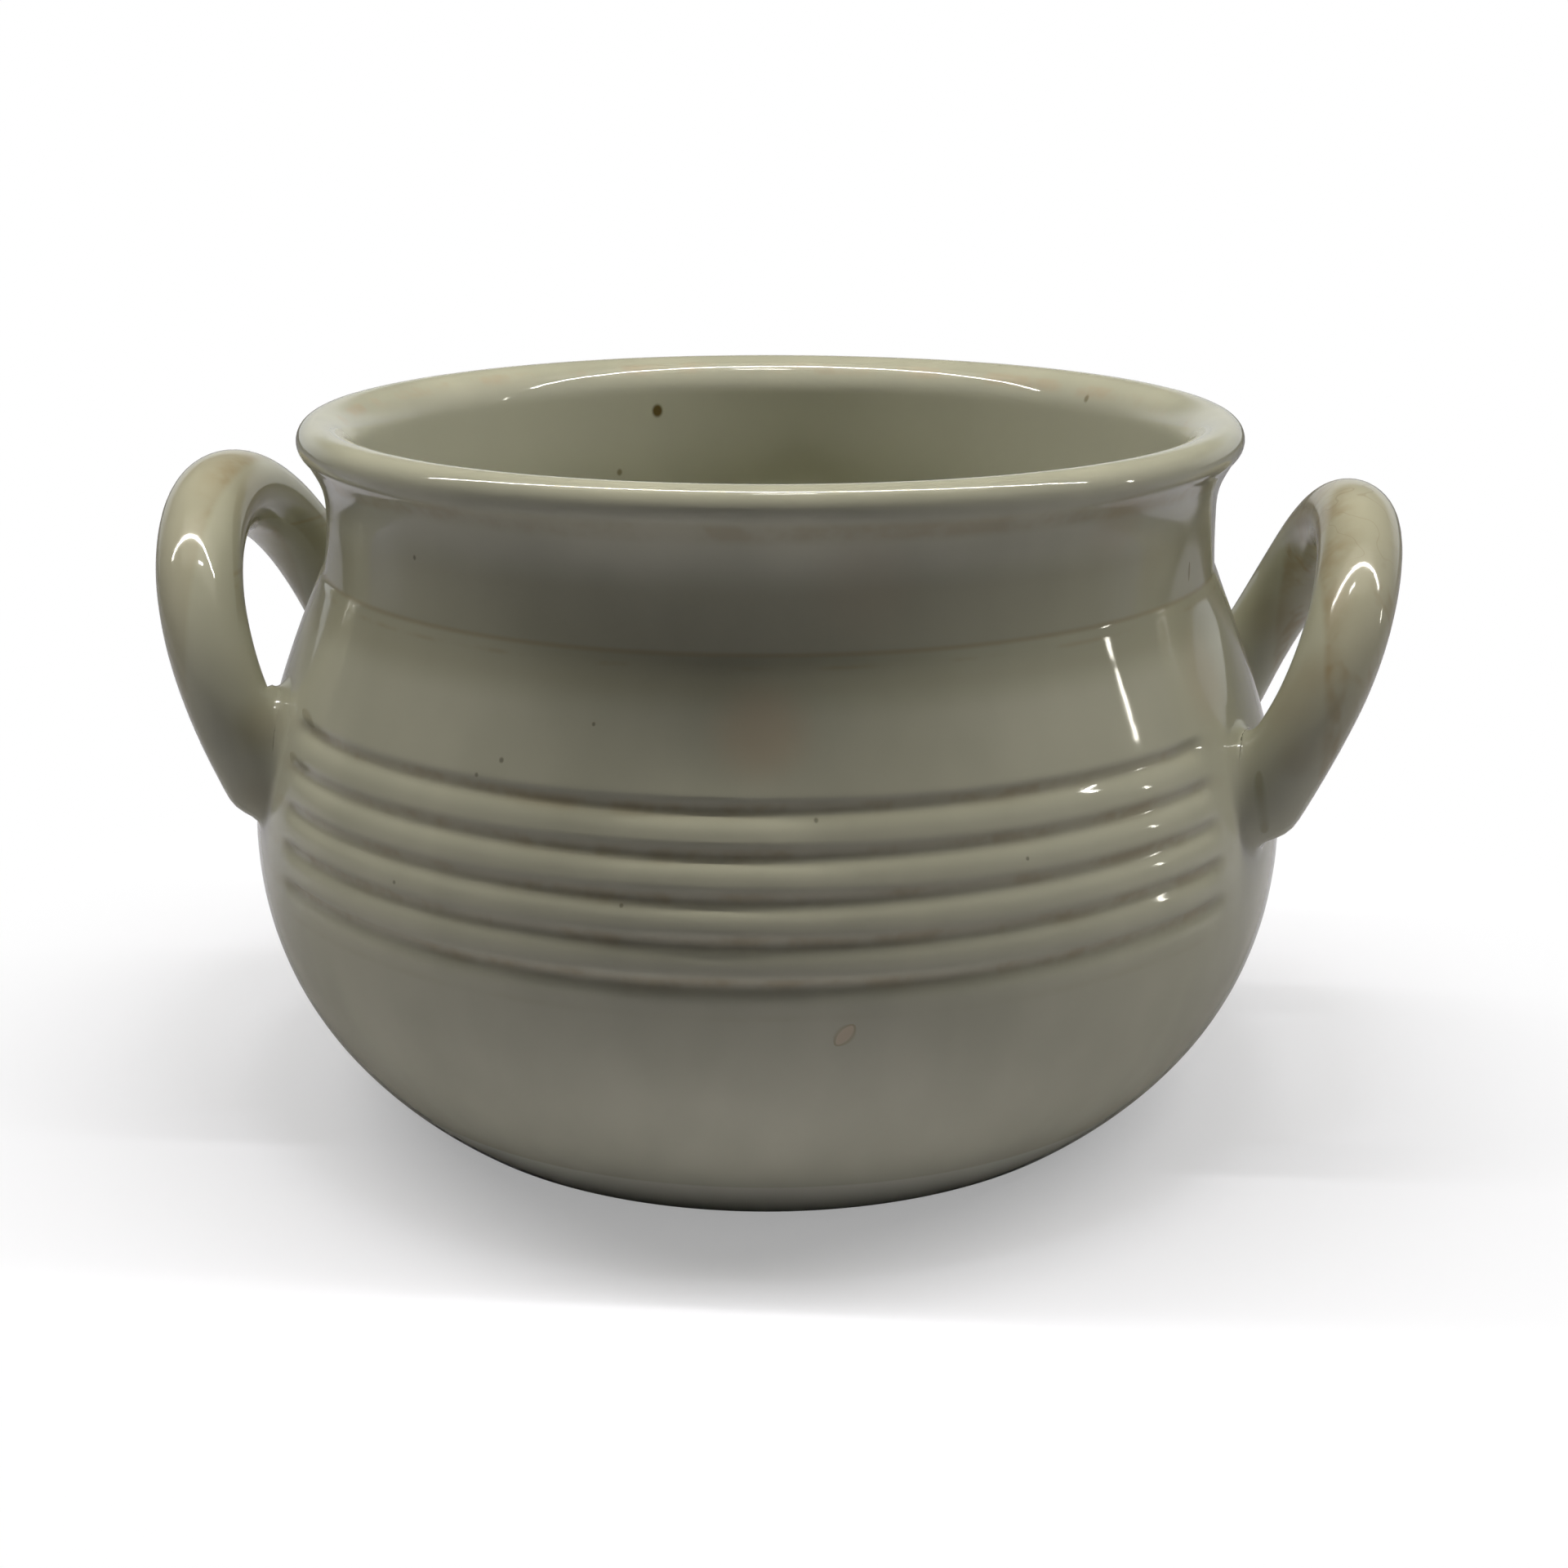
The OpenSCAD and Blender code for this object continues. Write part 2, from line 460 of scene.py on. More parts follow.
class Shape(Tree):
    """A Geometry Nodes tree whose sizes are named inputs of its modifier."""

    def __init__(self, name, sizes):
        super().__init__(bpy.data.node_groups.new(name, "GeometryNodeTree"))
        face = self.tree.interface
        face.new_socket("Geometry", in_out="INPUT", socket_type="NodeSocketGeometry")
        face.new_socket("Geometry", in_out="OUTPUT", socket_type="NodeSocketGeometry")
        self.sizes = sizes
        for label, value in sizes.items():
            kind = "NodeSocketInt" if isinstance(value, int) else "NodeSocketFloat"
            face.new_socket(label, in_out="INPUT", socket_type=kind)
        self.inputs = self.tree.nodes.new("NodeGroupInput")

    def size(self, label):
        return Link(self, self.inputs.outputs[label])

    def finish(self, geometry, material):
        """Ends the tree in Realize Instances and Set Material."""
        real = self.node("GeometryNodeRealizeInstances", values={0: geometry})
        dressed = self.node("GeometryNodeSetMaterial", values={"Geometry": real, "Material": material})
        self.node("NodeGroupOutput", values={"Geometry": dressed})

    def apply(self, thing):
        """Runs the tree on an object and leaves a plain mesh there."""
        modifier = thing.modifiers.new(self.tree.name, "NODES")
        modifier.node_group = self.tree
        for item in self.tree.interface.items_tree:
            if item.in_out == "INPUT" and item.name in self.sizes:
                modifier[item.identifier] = self.sizes[item.name]
        made_plain(thing)


def made_plain(thing):
    """Turns an object with modifiers into a plain mesh without them."""
    graph = bpy.context.evaluated_depsgraph_get()
    mesh = bpy.data.meshes.new_from_object(thing.evaluated_get(graph))
    thing.modifiers.clear()
    thing.data = mesh


def emptied(owner):
    """The node tree of a material or a world, without the nodes that it starts with."""
    owner.use_nodes = True
    owner.node_tree.nodes.clear()
    return Tree(owner.node_tree)


def placed(name, data):
    """A new object in the scene that shows a mesh, a camera or a lamp."""
    thing = bpy.data.objects.new(name, data)
    bpy.context.scene.collection.objects.link(thing)
    return thing


def mesh_thing(name, points, edges=(), faces=()):
    mesh = bpy.data.meshes.new(name)
    mesh.from_pydata([tuple(p) for p in np.asarray(points) * MM], list(edges), list(faces))
    return placed(name, mesh)


# The wall: the profile turned round, with the tooled band pressed into it

def wall_tree(coat):
    tree = Shape("turned_wall", {
        "Columns": column_n,
        "Crowding": column_crowding,
        "Groove Count": groove_n,
        "Top Groove": groove_z * MM,
        "Groove Pitch": groove_pitch * MM,
        "Groove Depth": groove_depth * MM,
        "Groove Width": groove_w * MM,
        "Groove Reach": math.radians(groove_reach),
        "Reach Step": math.radians(groove_step),
        "Groove End": math.radians(groove_end),
        "Side Reach": math.radians(side_reach),
        "Side Step": math.radians(side_step),
        "Groove Bias": groove_bias,
    })
    profile = tree.size("Geometry")
    rows = tree.node("GeometryNodeAttributeDomainSize", {"component": "MESH"}, {"Geometry": profile})
    columns = tree.size("Columns")
    grid = tree.node("GeometryNodeMeshGrid", values={"Vertices X": columns + 1.0, "Vertices Y": rows})
    index = tree.node("GeometryNodeInputIndex")
    column = (index / rows).maths("FLOOR")
    row = index - column * rows
    place = tree.node("GeometryNodeInputPosition")

    def on_profile(at):
        settings = {"data_type": "FLOAT_VECTOR", "domain": "POINT", "clamp": True}
        values = {"Geometry": profile, "Value": place, "Index": at}
        return tree.parts(tree.node("GeometryNodeSampleIndex", settings, values))

    r, _, z = on_profile(row)
    r_after, _, z_after = on_profile(row + 1.0)
    r_before, _, z_before = on_profile(row - 1.0)
    across, rise = r_after - r_before, z_after - z_before
    length = (across * across + rise * rise) ** 0.5
    out_r, out_z = rise / length, -across / length

    turn = column / columns * math.tau
    turn = turn + tree.size("Crowding") / 4.0 * (turn * 4.0).maths("SINE")
    cos, sin = turn.maths("COSINE"), turn.maths("SINE")
    off_front = abs(sin).maths("ARCCOSINE")

    last = tree.size("Groove Count") - 1.0
    pitch = tree.size("Groove Pitch")
    number = ((tree.size("Top Groove") - z) / pitch).maths("ROUND").clamp(0.0, last)
    across_groove = (z - tree.size("Top Groove") + number * pitch) / tree.size("Groove Width")
    across_groove = across_groove.clamp(-0.5, 0.5)
    across_groove = across_groove - tree.size("Groove Bias") * (0.25 - across_groove * across_groove)
    hollow = 0.5 + 0.5 * (across_groove * math.tau).maths("COSINE")
    reach = tree.size("Groove Reach") + number * tree.size("Reach Step")
    reach = reach + cos.maths("SIGN") / 2.0 * (tree.size("Side Reach") + number * tree.size("Side Step"))
    inside = ((reach - off_front) / tree.size("Groove End")).step(0.0, 1.0)
    outside_face = out_r.step(0.0, 0.5)
    depth = tree.size("Groove Depth") * hollow * inside * outside_face

    new_r, new_z = r - depth * out_r, z - depth * out_z
    new_place = tree.vector(new_r * cos, new_r * sin, new_z)
    turned = tree.node("GeometryNodeSetPosition", values={"Geometry": grid, "Position": new_place})
    closed = tree.node("GeometryNodeMergeByDistance", values={"Geometry": turned, "Distance": 0.001 * MM})
    tree.finish(closed, coat)
    return tree


def turned_wall(coat):
    rows = profile_rows()
    points = np.c_[rows[:, 0], np.zeros(len(rows)), rows[:, 1]]
    points[[0, -1], 0] = 0
    thing = mesh_thing("wall", points, [(i, i + 1) for i in range(len(rows) - 1)])
    wall_tree(coat).apply(thing)
    return thing


# The handles: a bent coil whose blunt ends are pressed on the wall and smoothed into it

def loop_line(handle):
    """The middle of the coil in the plane of the loop, from one foot over the crown to the other."""
    bend_r, half_turn = handle["crown_r"], handle["crown_half"]
    sine = math.sin(math.radians(half_turn))
    haunch_r = (handle["width"] / 2 - bend_r * sine) / (1 - sine)
    haunch_mid = np.array([0, -bend_r]) + (bend_r - haunch_r) * tilt(90 - half_turn)
    crown = arc([0, -bend_r], bend_r, 90, 90 - half_turn)
    haunch = arc(haunch_mid, haunch_r, 90 - half_turn, -handle["leg_tuck"])
    end = haunch[-1] - handle["leg"] * tilt(90 - handle["leg_tuck"])
    half = np.vstack([crown, haunch[1:], [end]])
    return evenly(np.vstack([(half * [-1, 1])[:0:-1], half]), loop_step)


def coil(handle):
    """Middle points, radii and the directions to the sides of the coil along the loop."""
    flat = loop_line(handle)
    foot_z = handle["foot_z"]
    foot_x = math.sqrt(face_r(foot_z) ** 2 - flat[-1, 0] ** 2) + handle["foot_out"]
    rise = flat[:, 1] - flat[-1, 1]
    lean = math.radians(handle["lean"])
    middle = np.stack([
        foot_x + rise * math.sin(lean) + handle["bow"] * np.sin(np.pi * rise / rise.max()),
        flat[:, 0],
        foot_z + rise * math.cos(lean),
    ], 1)
    way = unit(np.gradient(middle, axis=0))
    out = np.array([math.cos(lean), 0, -math.sin(lean)])
    out = unit(out - (way @ out)[:, None] * way)
    side = np.cross(way, out)
    turns = np.linspace(0, math.tau, coil_sides, endpoint=False)
    spokes = np.cos(turns)[:, None] * out[:, None] + np.sin(turns)[:, None] * side[:, None]
    from_crown = np.abs(2 * lengths(middle) / lengths(middle)[-1] - 1)
    radii = np.interp(from_crown, coil_shares, handle["coil"])
    radii = np.convolve(np.pad(radii, 10, "edge"), np.ones(21) / 21, "valid")
    return middle, radii, spokes


def coil_gap(points, middle, radii):
    """How far each point lies outside the coil."""
    piece, share, gap = nearest(points, middle)
    return np.linalg.norm(gap, axis=1) - radii[piece] * (1 - share) - radii[piece + 1] * share


def joined_gap(middle, radii, handle):
    """Distance outside the coil and the wall together, with a hollow fillet where they meet.

    The fillet has one size under the foot and another inside the loop.
    """
    def field(points):
        to_coil = coil_gap(points, middle, radii)
        to_wall = wall_gap(points)
        fillet = np.interp(points[:, 2] - handle["foot_z"], (-5, 8), handle["fillet"])
        near = np.clip(fillet - np.abs(to_coil - to_wall), 0, None) / fillet
        return np.minimum(to_coil, to_wall) - near ** 2 * fillet / 4
    return field


def pulled_onto(field, points, rounds=6):
    for _ in range(rounds):
        slope = gradient(field, points)
        points = points - field(points)[:, None] * slope / (slope * slope).sum(1)[:, None]
    return points


def leg_down(middle, radii, spokes):
    """Rows of points down the end of the coil, the last of them where it meets the wall."""
    way = unit(middle[-1] - middle[-2])
    side = middle[:, None] + radii[:, None, None] * spokes
    turns = np.linspace(0, math.pi / 2, 30)[1:, None, None]
    dome = middle[-1] + radii[-1] * (np.cos(turns) * spokes[-1] + np.sin(turns) * way)
    paths = np.concatenate([side, dome])
    shares = np.linspace(0, 1, leg_rows + 1)[1:]
    rows = np.empty((leg_rows, coil_sides, 3))
    for k in range(coil_sides):
        path = paths[:, k]
        out = wall_gap(path)
        i = int(np.argmax(out <= 0))
        share = out[i - 1] / (out[i - 1] - out[i])
        there = lengths(path)[i - 1] + share * np.linalg.norm(path[i] - path[i - 1])
        rows[:, k] = at_lengths(path, shares * there)
    return list(rows)


def skirt_out(edge, stride, middle, radii):
    """Rows of points from the edge of the coil out over the wall."""
    rows = []
    for _ in range(skirt_rows):
        up = unit(gradient(wall_gap, edge))
        away = gradient(lambda points: coil_gap(points, middle, radii), edge)
        away = unit(away - (away * up).sum(1)[:, None] * up)
        edge = edge + stride * away
        edge = edge - wall_gap(edge)[:, None] * unit(gradient(wall_gap, edge))
        rows.append(edge)
    return rows


def foot_rows(middle, radii, spokes, field, widest):
    """Rows of points from the free coil down to the wall and out over it, and a last point in the wall."""
    stride = (widest + skirt_over) / skirt_rows
    leg = leg_down(middle, radii, spokes)
    skirt = skirt_out(leg[-1], stride, middle, radii)
    points = pulled_onto(field, np.concatenate(leg + skirt))
    skirt_row = np.arange(leg_rows + skirt_rows) - leg_rows
    beyond = np.clip((skirt_row + 1) * stride - skirt_level * widest, 0, None)
    sink = np.repeat(skirt_sink * (skirt_row >= 0) + skirt_slope * beyond, coil_sides)
    points = points - sink[:, None] * unit(gradient(wall_gap, points))
    rows = list(points.reshape(leg_rows + skirt_rows, coil_sides, 3))
    last = rows[-1].mean(0)
    last = last - (wall_gap(last[None])[0] + wall / 2) * unit(gradient(wall_gap, last[None]))[0]
    return rows, last


def handle_thing(name, handle):
    middle, radii, spokes = coil(handle)
    field = joined_gap(middle, radii, handle)
    widest = max(handle["fillet"])
    start, end = slice(foot_points, None, -1), slice(-foot_points - 1, None)
    first, first_end = foot_rows(middle[start], radii[start], spokes[start], field, widest)
    last, last_end = foot_rows(middle[end], radii[end], spokes[end], field, widest)
    last_ring = len(middle) - 1 - foot_points
    where = [*range(foot_points, last_ring, int(round(ring_gap / loop_step))), last_ring]
    rows = first[::-1] + [middle[i] + radii[i] * spokes[i] for i in where] + last
    points = np.concatenate(rows + [[first_end], [last_end]])
    sides = [(k, (k + 1) % coil_sides) for k in range(coil_sides)]
    last_row = (len(rows) - 1) * coil_sides
    faces = []
    for low in range(0, last_row, coil_sides):
        high = low + coil_sides
        faces += [(low + k, low + after, high + after, high + k) for k, after in sides]
    for k, after in sides:
        faces.append((len(points) - 2, after, k))
        faces.append((len(points) - 1, last_row + k, last_row + after))
    points = points * [handle["side"], handle["side"], 1]
    return mesh_thing(name, points, faces=faces)


def outwards(thing):
    """Points every face of a closed mesh out and makes it smooth."""
    shell = bmesh.new()
    shell.from_mesh(thing.data)
    bmesh.ops.recalc_face_normals(shell, faces=shell.faces)
    shell.to_mesh(thing.data)
    shell.free()
    thing.data.shade_smooth()


def joined(base, others):
    """One closed body from several that run into each other."""
    for other in others:
        modifier = base.modifiers.new(other.name, "BOOLEAN")
        modifier.operation = "UNION"
        modifier.solver = "EXACT"
        modifier.object = other
    made_plain(base)
    for other in others:
        bpy.data.objects.remove(other)


def uneven_tree(coat):
    """Moves the whole jar a little off true, as a hand does, but for its foot, and ripples its glaze."""
    tree = Shape("hand_made", {
        "Unevenness": 0.35 * MM,
        "Wave": 14.0,
        "Ripple": 0.025 * MM,
        "Ripple Wave": 110.0,
        "Foot Height": 6.0 * MM,
        "Rim Height": jar_h * MM,
        "Rim Drop": 0.1 * MM,
        "Neck Shift": 0.5 * MM,
        "Neck Foot": shoulder_z * MM,
        "Neck Side": 78.0 * MM,
    })
    place = tree.node("GeometryNodeInputPosition")

    def waves(label, out):
        values = {"Vector": place, "Scale": tree.size(label), "Detail": 1.0}
        return tree.node("ShaderNodeTexNoise", values=values, out=out)

    right, _, height = tree.parts(place)
    above_foot = (height / tree.size("Foot Height")).step(0.5, 3.0)
    moves = [part - 0.5 for part in tree.parts(waves("Wave", "Color"))]
    strength = tree.size("Unevenness") * 2.0 * above_foot
    at_rim = (height / tree.size("Rim Height")).step(0.9, 1.0)
    drop = moves[2] * strength * 0.3 - tree.size("Rim Drop") * at_rim
    on_neck = (height / tree.size("Neck Foot")).step(0.95, 1.12)
    off_handles = (abs(right) / tree.size("Neck Side")).step(1.05, 0.98)
    ripple = (waves("Ripple Wave", 0) - 0.5) * 2.0 * tree.size("Ripple") * above_foot
    skin = tree.parts(tree.node("GeometryNodeInputNormal"))
    offset = tree.vector(
        moves[0] * strength + on_neck * off_handles * tree.size("Neck Shift") + skin[0] * ripple,
        moves[1] * strength + skin[1] * ripple,
        drop + skin[2] * ripple,
    )
    values = {"Geometry": tree.size("Geometry"), "Offset": offset}
    tree.finish(tree.node("GeometryNodeSetPosition", values=values), coat)
    return tree


# The glaze

# The inside colour is lighter, to paint light on the inner wall. The brown, rosy and olive colours also
# paint shade: brown in the grooves, under the lip and on the coils' sides that face the wall, rosy where
# the lip turns down inside, and olive on the neck, the upper shoulder and in the marks beside the handles.
pale_glaze = (0.485, 0.475, 0.362, 1.0)
deep_glaze = (0.420, 0.413, 0.315, 1.0)
lit_inside_glaze = (0.590, 0.590, 0.490, 1.0)
thin_and_shade_brown = (0.300, 0.235, 0.130, 1.0)
rosy_glaze = (0.470, 0.365, 0.250, 1.0)
painted_shade_olive = (0.300, 0.285, 0.190, 1.0)
iron_spot = (0.130, 0.090, 0.025, 1.0)
dark_pit = (0.085, 0.078, 0.055, 1.0)
crack_line = (0.230, 0.190, 0.120, 1.0)
bare_clay = (0.520, 0.430, 0.290, 1.0)

# Radius at which the wall is unrolled, so that a mark on it has an angle off the front and a height
flat_r = 80.0

# The radii over which the outer face begins and the wall ends, and how far aside a coil begins
outer_face_from = (neck_r - 0.8, neck_r - 0.2)
wall_until = (belly_r + 1.1, belly_r + 0.7)
coil_from = (belly_r + 0.9, belly_r + 2.1)

# Pinholes in the glaze: angle off the front, height and size
pinholes = [
    (-39.5, 97.4, 0.24), (-12.8, 79.0, 0.15), (-22.6, 73.1, 0.25), (-25.3, 70.7, 0.18),
    (-33.9, 54.0, 0.16), (-8.5, 56.1, 0.16), (10.0, 67.7, 0.18), (31.0, 60.5, 0.15),
]


def outer_spot(turn, height):
    """A place on the outer face of the wall, from its angle off the front and its height."""
    r = face_r(height)
    return (r * math.sin(math.radians(turn)), -r * math.cos(math.radians(turn)), height)


# Soft stains that the points of the mesh carry: strength, middle, radius and softness of the edge
stains = {
    "thin_stains": [
        (0.26, (80.6, -34.6, 73.9), 5.0, 0.7),
        (0.22, (81.9, -37.6, 66.0), 2.6, 0.6),
        (0.20, (86.0, -36.8, 68.4), 2.0, 0.6),
        (0.24, (84.6, -34.6, 79.0), 3.0, 0.7),
        (0.24, (84.4, 24.0, 73.0), 4.0, 0.7),
        (0.24, (-74.5, -37.6, 67.2), 3.4, 0.7),
        (0.18, (-75.2, -38.7, 56.4), 3.0, 0.7),
        (0.25, (-82.2, -6.0, 96.0), 9.0, 0.7),
    ],
    "rosy_stains": [
        (0.45, outer_spot(4.7, 78.8), 5.5, 0.6),
        (0.22, outer_spot(63.4, 77.2), 6.0, 0.6),
        (0.20, outer_spot(48.2, 103.4), 5.0, 0.6),
        (0.14, outer_spot(16.0, 97.6), 6.0, 0.6),
    ],
}


def stained(thing, name, marks):
    """Writes how strong the stains of one kind are on each point of a mesh."""
    points = np.empty(len(thing.data.vertices) * 3)
    thing.data.vertices.foreach_get("co", points)
    points = points.reshape(-1, 3) / MM
    whole = np.zeros(len(points))
    for strength, middle, size, ease in marks:
        away = np.linalg.norm(points - middle, axis=1)
        share = np.clip((size * (1 + ease) - away) / (2 * size * ease), 0, 1)
        whole += strength * share ** 2 * (3 - 2 * share)
    thing.data.attributes.new(name, "FLOAT", "POINT").data.foreach_set("value", whole.clip(0, 1))


def carried(tree, name):
    """A number that the points of the mesh carry."""
    return tree.node("ShaderNodeAttribute", {"attribute_name": name}, out="Fac")


def flat(turn, height):
    """A place on the unrolled wall in millimetres, from its angle off the front and its height."""
    return np.array([math.radians(turn) * flat_r, height, 0.0])


def noise(tree, place, size, detail=2.0, roughness=0.5, stretch=None):
    """Soft noise around one half whose lumps are about this many millimetres across."""
    if stretch:
        place = tree.vector_maths("MULTIPLY", place, stretch)
    values = {"Vector": place, "Scale": 1.0 / size, "Detail": detail, "Roughness": roughness}
    return tree.node("ShaderNodeTexNoise", values=values)


def spot(tree, place, middle, size, ease=0.5):
    """A round mark of this radius, 1 in its middle."""
    away = tree.vector_maths("DISTANCE", place, tuple(middle), out="Value")
    return away.step(size * (1.0 + ease), size * (1.0 - ease))


def stroke(tree, place, start, end, width, ease=0.3):
    """A mark from one place to another, pointed at both ends."""
    start, end = np.array(start, float), np.array(end, float)
    middle, run = (start + end) / 2, end - start
    rel = tree.vector_maths("SUBTRACT", place, tuple(middle))
    along = tree.vector_maths("DOT_PRODUCT", rel, tuple(unit(run)), out="Value")
    length = tree.vector_maths("LENGTH", rel, out="Value")
    aside = (length * length - along * along).maths("MAXIMUM", 0.0) ** 0.5
    share = along / (np.linalg.norm(run) / 2)
    narrowing = (1.0 - share * share).clamp(0.02, 1.0)
    across = aside / (width / 2 * narrowing ** 0.7)
    return across.step(1.0 + ease, 1.0 - ease) * narrowing.step(0.02, 0.1)


def total(marks):
    """The sum of marks, each with its strength."""
    return sum(strength * mark for strength, mark in marks).clamp()


def glaze():
    """Cloudy off-white glaze, brownish where it runs thinner on edges, with specks and pinholes from the
    kiln, painted light inside and painted shade under the lip, in the grooves, on the neck and on the
    coils.
    """
    material = bpy.data.materials.new("off_white_glaze")
    tree = emptied(material)
    metres = tree.node("ShaderNodeTexCoord", out="Object")
    place = tree.node("ShaderNodeVectorMath", {"operation": "SCALE"}, {0: metres, "Scale": 1 / MM})
    x, y, z = tree.parts(place)
    r = (x * x + y * y) ** 0.5
    unrolled = tree.vector(x.maths("ARCTAN2", -y) * flat_r, z, 0.0)

    # The sides of the jar, and patches for all that comes and goes
    outside = r.step(*outer_face_from)
    on_wall = outside * r.step(*wall_until)
    inside = 1.0 - outside
    on_coil = abs(x).step(*coil_from)
    right = x.step(0.0, 1.0)
    patchy = noise(tree, place, 9.0, detail=3.0, roughness=0.65).step(0.42, 0.66)

    # Clouds and streaks. The inside is lighter, as painted light on the inner wall, and the neck and upper
    # shoulder darker, as painted shade under the lip.
    cloud = noise(tree, place, 32.0, detail=2.0, roughness=0.6).step(0.35, 0.65)
    streak = noise(tree, place, 11.0, detail=2.0, stretch=(1.0, 1.0, 0.35)).step(0.35, 0.7)
    colour = tree.blend(cloud * 0.6 + streak * 0.4, deep_glaze, pale_glaze)
    colour = tree.blend(inside * z.step(jar_h, jar_h - 6.0) * 0.65, colour, lit_inside_glaze)
    lip_shade = z.band(shoulder_z - 5.0, neck_z + 1.0, 2.5) * on_wall
    colour = tree.blend(lip_shade * 0.45, colour, painted_shade_olive)

    # Brown along the deepest line of each groove, partly thinner glaze and partly painted shade; under the
    # lip, a painted shadow of the lip; lines by the ledge; thinner glaze on the crest and on the coils, and
    # painted shade on the coils' sides that face the wall
    down = (groove_z - z + cloud * 0.6) / groove_pitch
    rib_shade = (down * math.tau + 0.9).maths("COSINE") * 0.5 + 0.5
    in_band = z.band(groove_z - (groove_n - 0.4) * groove_pitch, groove_z + 2.5, 1.0) * on_wall
    front = (abs(y) / (r + 1.0)).step(0.45, 0.62)
    toward_jar = tree.parts(tree.node("ShaderNodeNewGeometry", out="Normal"))[0] * x.maths("SIGN")
    ragged = noise(tree, place, 3.5, detail=2.0, roughness=0.7, stretch=(0.6, 1.0, 0.3)).step(0.52, 0.7)
    thin_and_shade = total([
        (0.55, rib_shade * rib_shade * rib_shade * in_band * front * (0.4 + 0.6 * patchy)),
        (0.40, z.band(lip_mid[1] - 4.6, lip_mid[1] - 2.0, 0.9) * outside * (0.4 + 0.6 * patchy)),
        (0.35, z.band(shoulder_z + ledge_h - 0.1, shoulder_z + ledge_h + 0.5, 0.3) * on_wall),
        (0.25, z.band(shoulder_z - 0.7, shoulder_z - 0.2, 0.3) * on_wall * patchy),
        (0.03, z.step(jar_h - 1.2, jar_h - 0.3) * patchy),
        (0.50, on_coil * toward_jar.step(0.15, -0.75) * (0.25 + 0.75 * patchy)),
        (0.35, on_coil * right * ragged * z.band(62.0, 92.0, 6.0)),
        (0.20, on_coil),
        (1.0, carried(tree, "thin_stains")),
    ])
    colour = tree.blend(thin_and_shade, colour, thin_and_shade_brown)

    # Rosy blushes on the outer face, and a patchy rosy band inside the lip where it turns down, which also
    # paints shade there
    rosy = total([
        (1.0, carried(tree, "rosy_stains") * outside),
        (0.45, r.band(66.6, 68.2, 0.5) * z.step(107.0, 108.8) * patchy),
    ])
    colour = tree.blend(rosy, colour, rosy_glaze)

    # A chip on the lower belly, down to the bare clay
    chip = stroke(tree, unrolled, flat(11.7, 37.1), flat(13.2, 39.9), 1.7) * outside
    chip_edge = stroke(tree, unrolled, flat(11.55, 36.9), flat(13.35, 40.1), 2.4) * outside - chip
    colour = tree.blend(chip * 0.8, colour, bare_clay)
    colour = tree.blend(chip_edge.clamp() * 0.5, colour, thin_and_shade_brown)

    # Iron specks, most of them inside
    iron = total([
        (1.0, spot(tree, unrolled, flat(-156.3, 102.2), 1.15, 0.35) * inside),
        (0.7, spot(tree, unrolled, flat(-149.7, 91.1), 0.6) * inside),
        (0.6, spot(tree, unrolled, flat(128.3, 107.9), 0.6) * inside),
        (0.6, stroke(tree, unrolled, flat(66.6, 90.4), flat(66.8, 93.4), 0.9) * outside),
    ])
    colour = tree.blend(iron, colour, iron_spot)

    # Pinholes: those that have their places, and fine ones all over
    holes = []
    for turn, height, size in pinholes:
        holes.append((0.6, spot(tree, unrolled, flat(turn, height), size + 0.1) * outside))
    near = tree.node("ShaderNodeTexVoronoi", {"feature": "F1"}, {"Vector": place, "Scale": 1 / 13.0})
    chosen = tree.parts(near.output("Color"))[0]
    holes.append((0.4, near.step(0.020, 0.010) * chosen.step(0.62, 0.64)))
    colour = tree.blend(total(holes), colour, dark_pit)

    # Dark marks of the tool beside the handles: glaze that pools in them, and painted shade of grooves that
    # the wall doesn't have
    tool_mark_shade = total([
        (1.0, stroke(tree, unrolled, flat(-58.0, 71.2), flat(-53.4, 70.0), 1.7, 0.5) * on_wall),
        (0.9, stroke(tree, unrolled, flat(-58.2, 64.6), flat(-54.6, 63.6), 1.7, 0.5) * on_wall),
        (1.0, stroke(tree, place, (76.2, -36.8, 64.5), (78.1, -36.4, 53.0), 1.9, 0.5)),
    ])
    colour = tree.blend(tool_mark_shade * 0.6, colour, painted_shade_olive)

    # Hairlines on the crown of the right handle
    hairline = abs(noise(tree, place, 7.0, detail=1.0) - 0.5).step(0.010, 0.003)
    colour = tree.blend(hairline * on_coil * right * z.step(90.0, 97.0) * 0.3, colour, crack_line)

    bump = tree.node("ShaderNodeBump", values={
        "Strength": 0.3,
        "Distance": 0.05 * MM,
        "Height": noise(tree, place, 3.5, detail=1.0),
    })
    shader = tree.node("ShaderNodeBsdfPrincipled", values={
        "Base Color": colour,
        "Roughness": 0.04 + 0.15 * thin_and_shade + 0.03 * cloud + 0.3 * chip,
        "IOR": 1.5,
        "Normal": bump,
    })
    tree.node("ShaderNodeOutputMaterial", values={"Surface": shader})
    return material


# Camera, floor and lights

view_turn = 5.4
view_pitch = 17.14
camera_out = 372.9
camera_up = 163.5
focal_px = 2848
frame_px = 1920
axis_px = 940

white = (1.0, 1.0, 1.0, 1.0)


def camera():
    data = bpy.data.cameras.new("camera")
    data.sensor_width = 36.0
    data.lens = focal_px / frame_px * data.sensor_width
    thing = placed("camera", data)
    turn = math.radians(view_turn)
    thing.location = Vector((camera_out * math.sin(turn), -camera_out * math.cos(turn), camera_up)) * MM
    aside = math.atan((frame_px / 2 - axis_px) / focal_px)
    thing.rotation_euler = (math.radians(90 - view_pitch), 0, turn - aside)
    bpy.context.scene.camera = thing


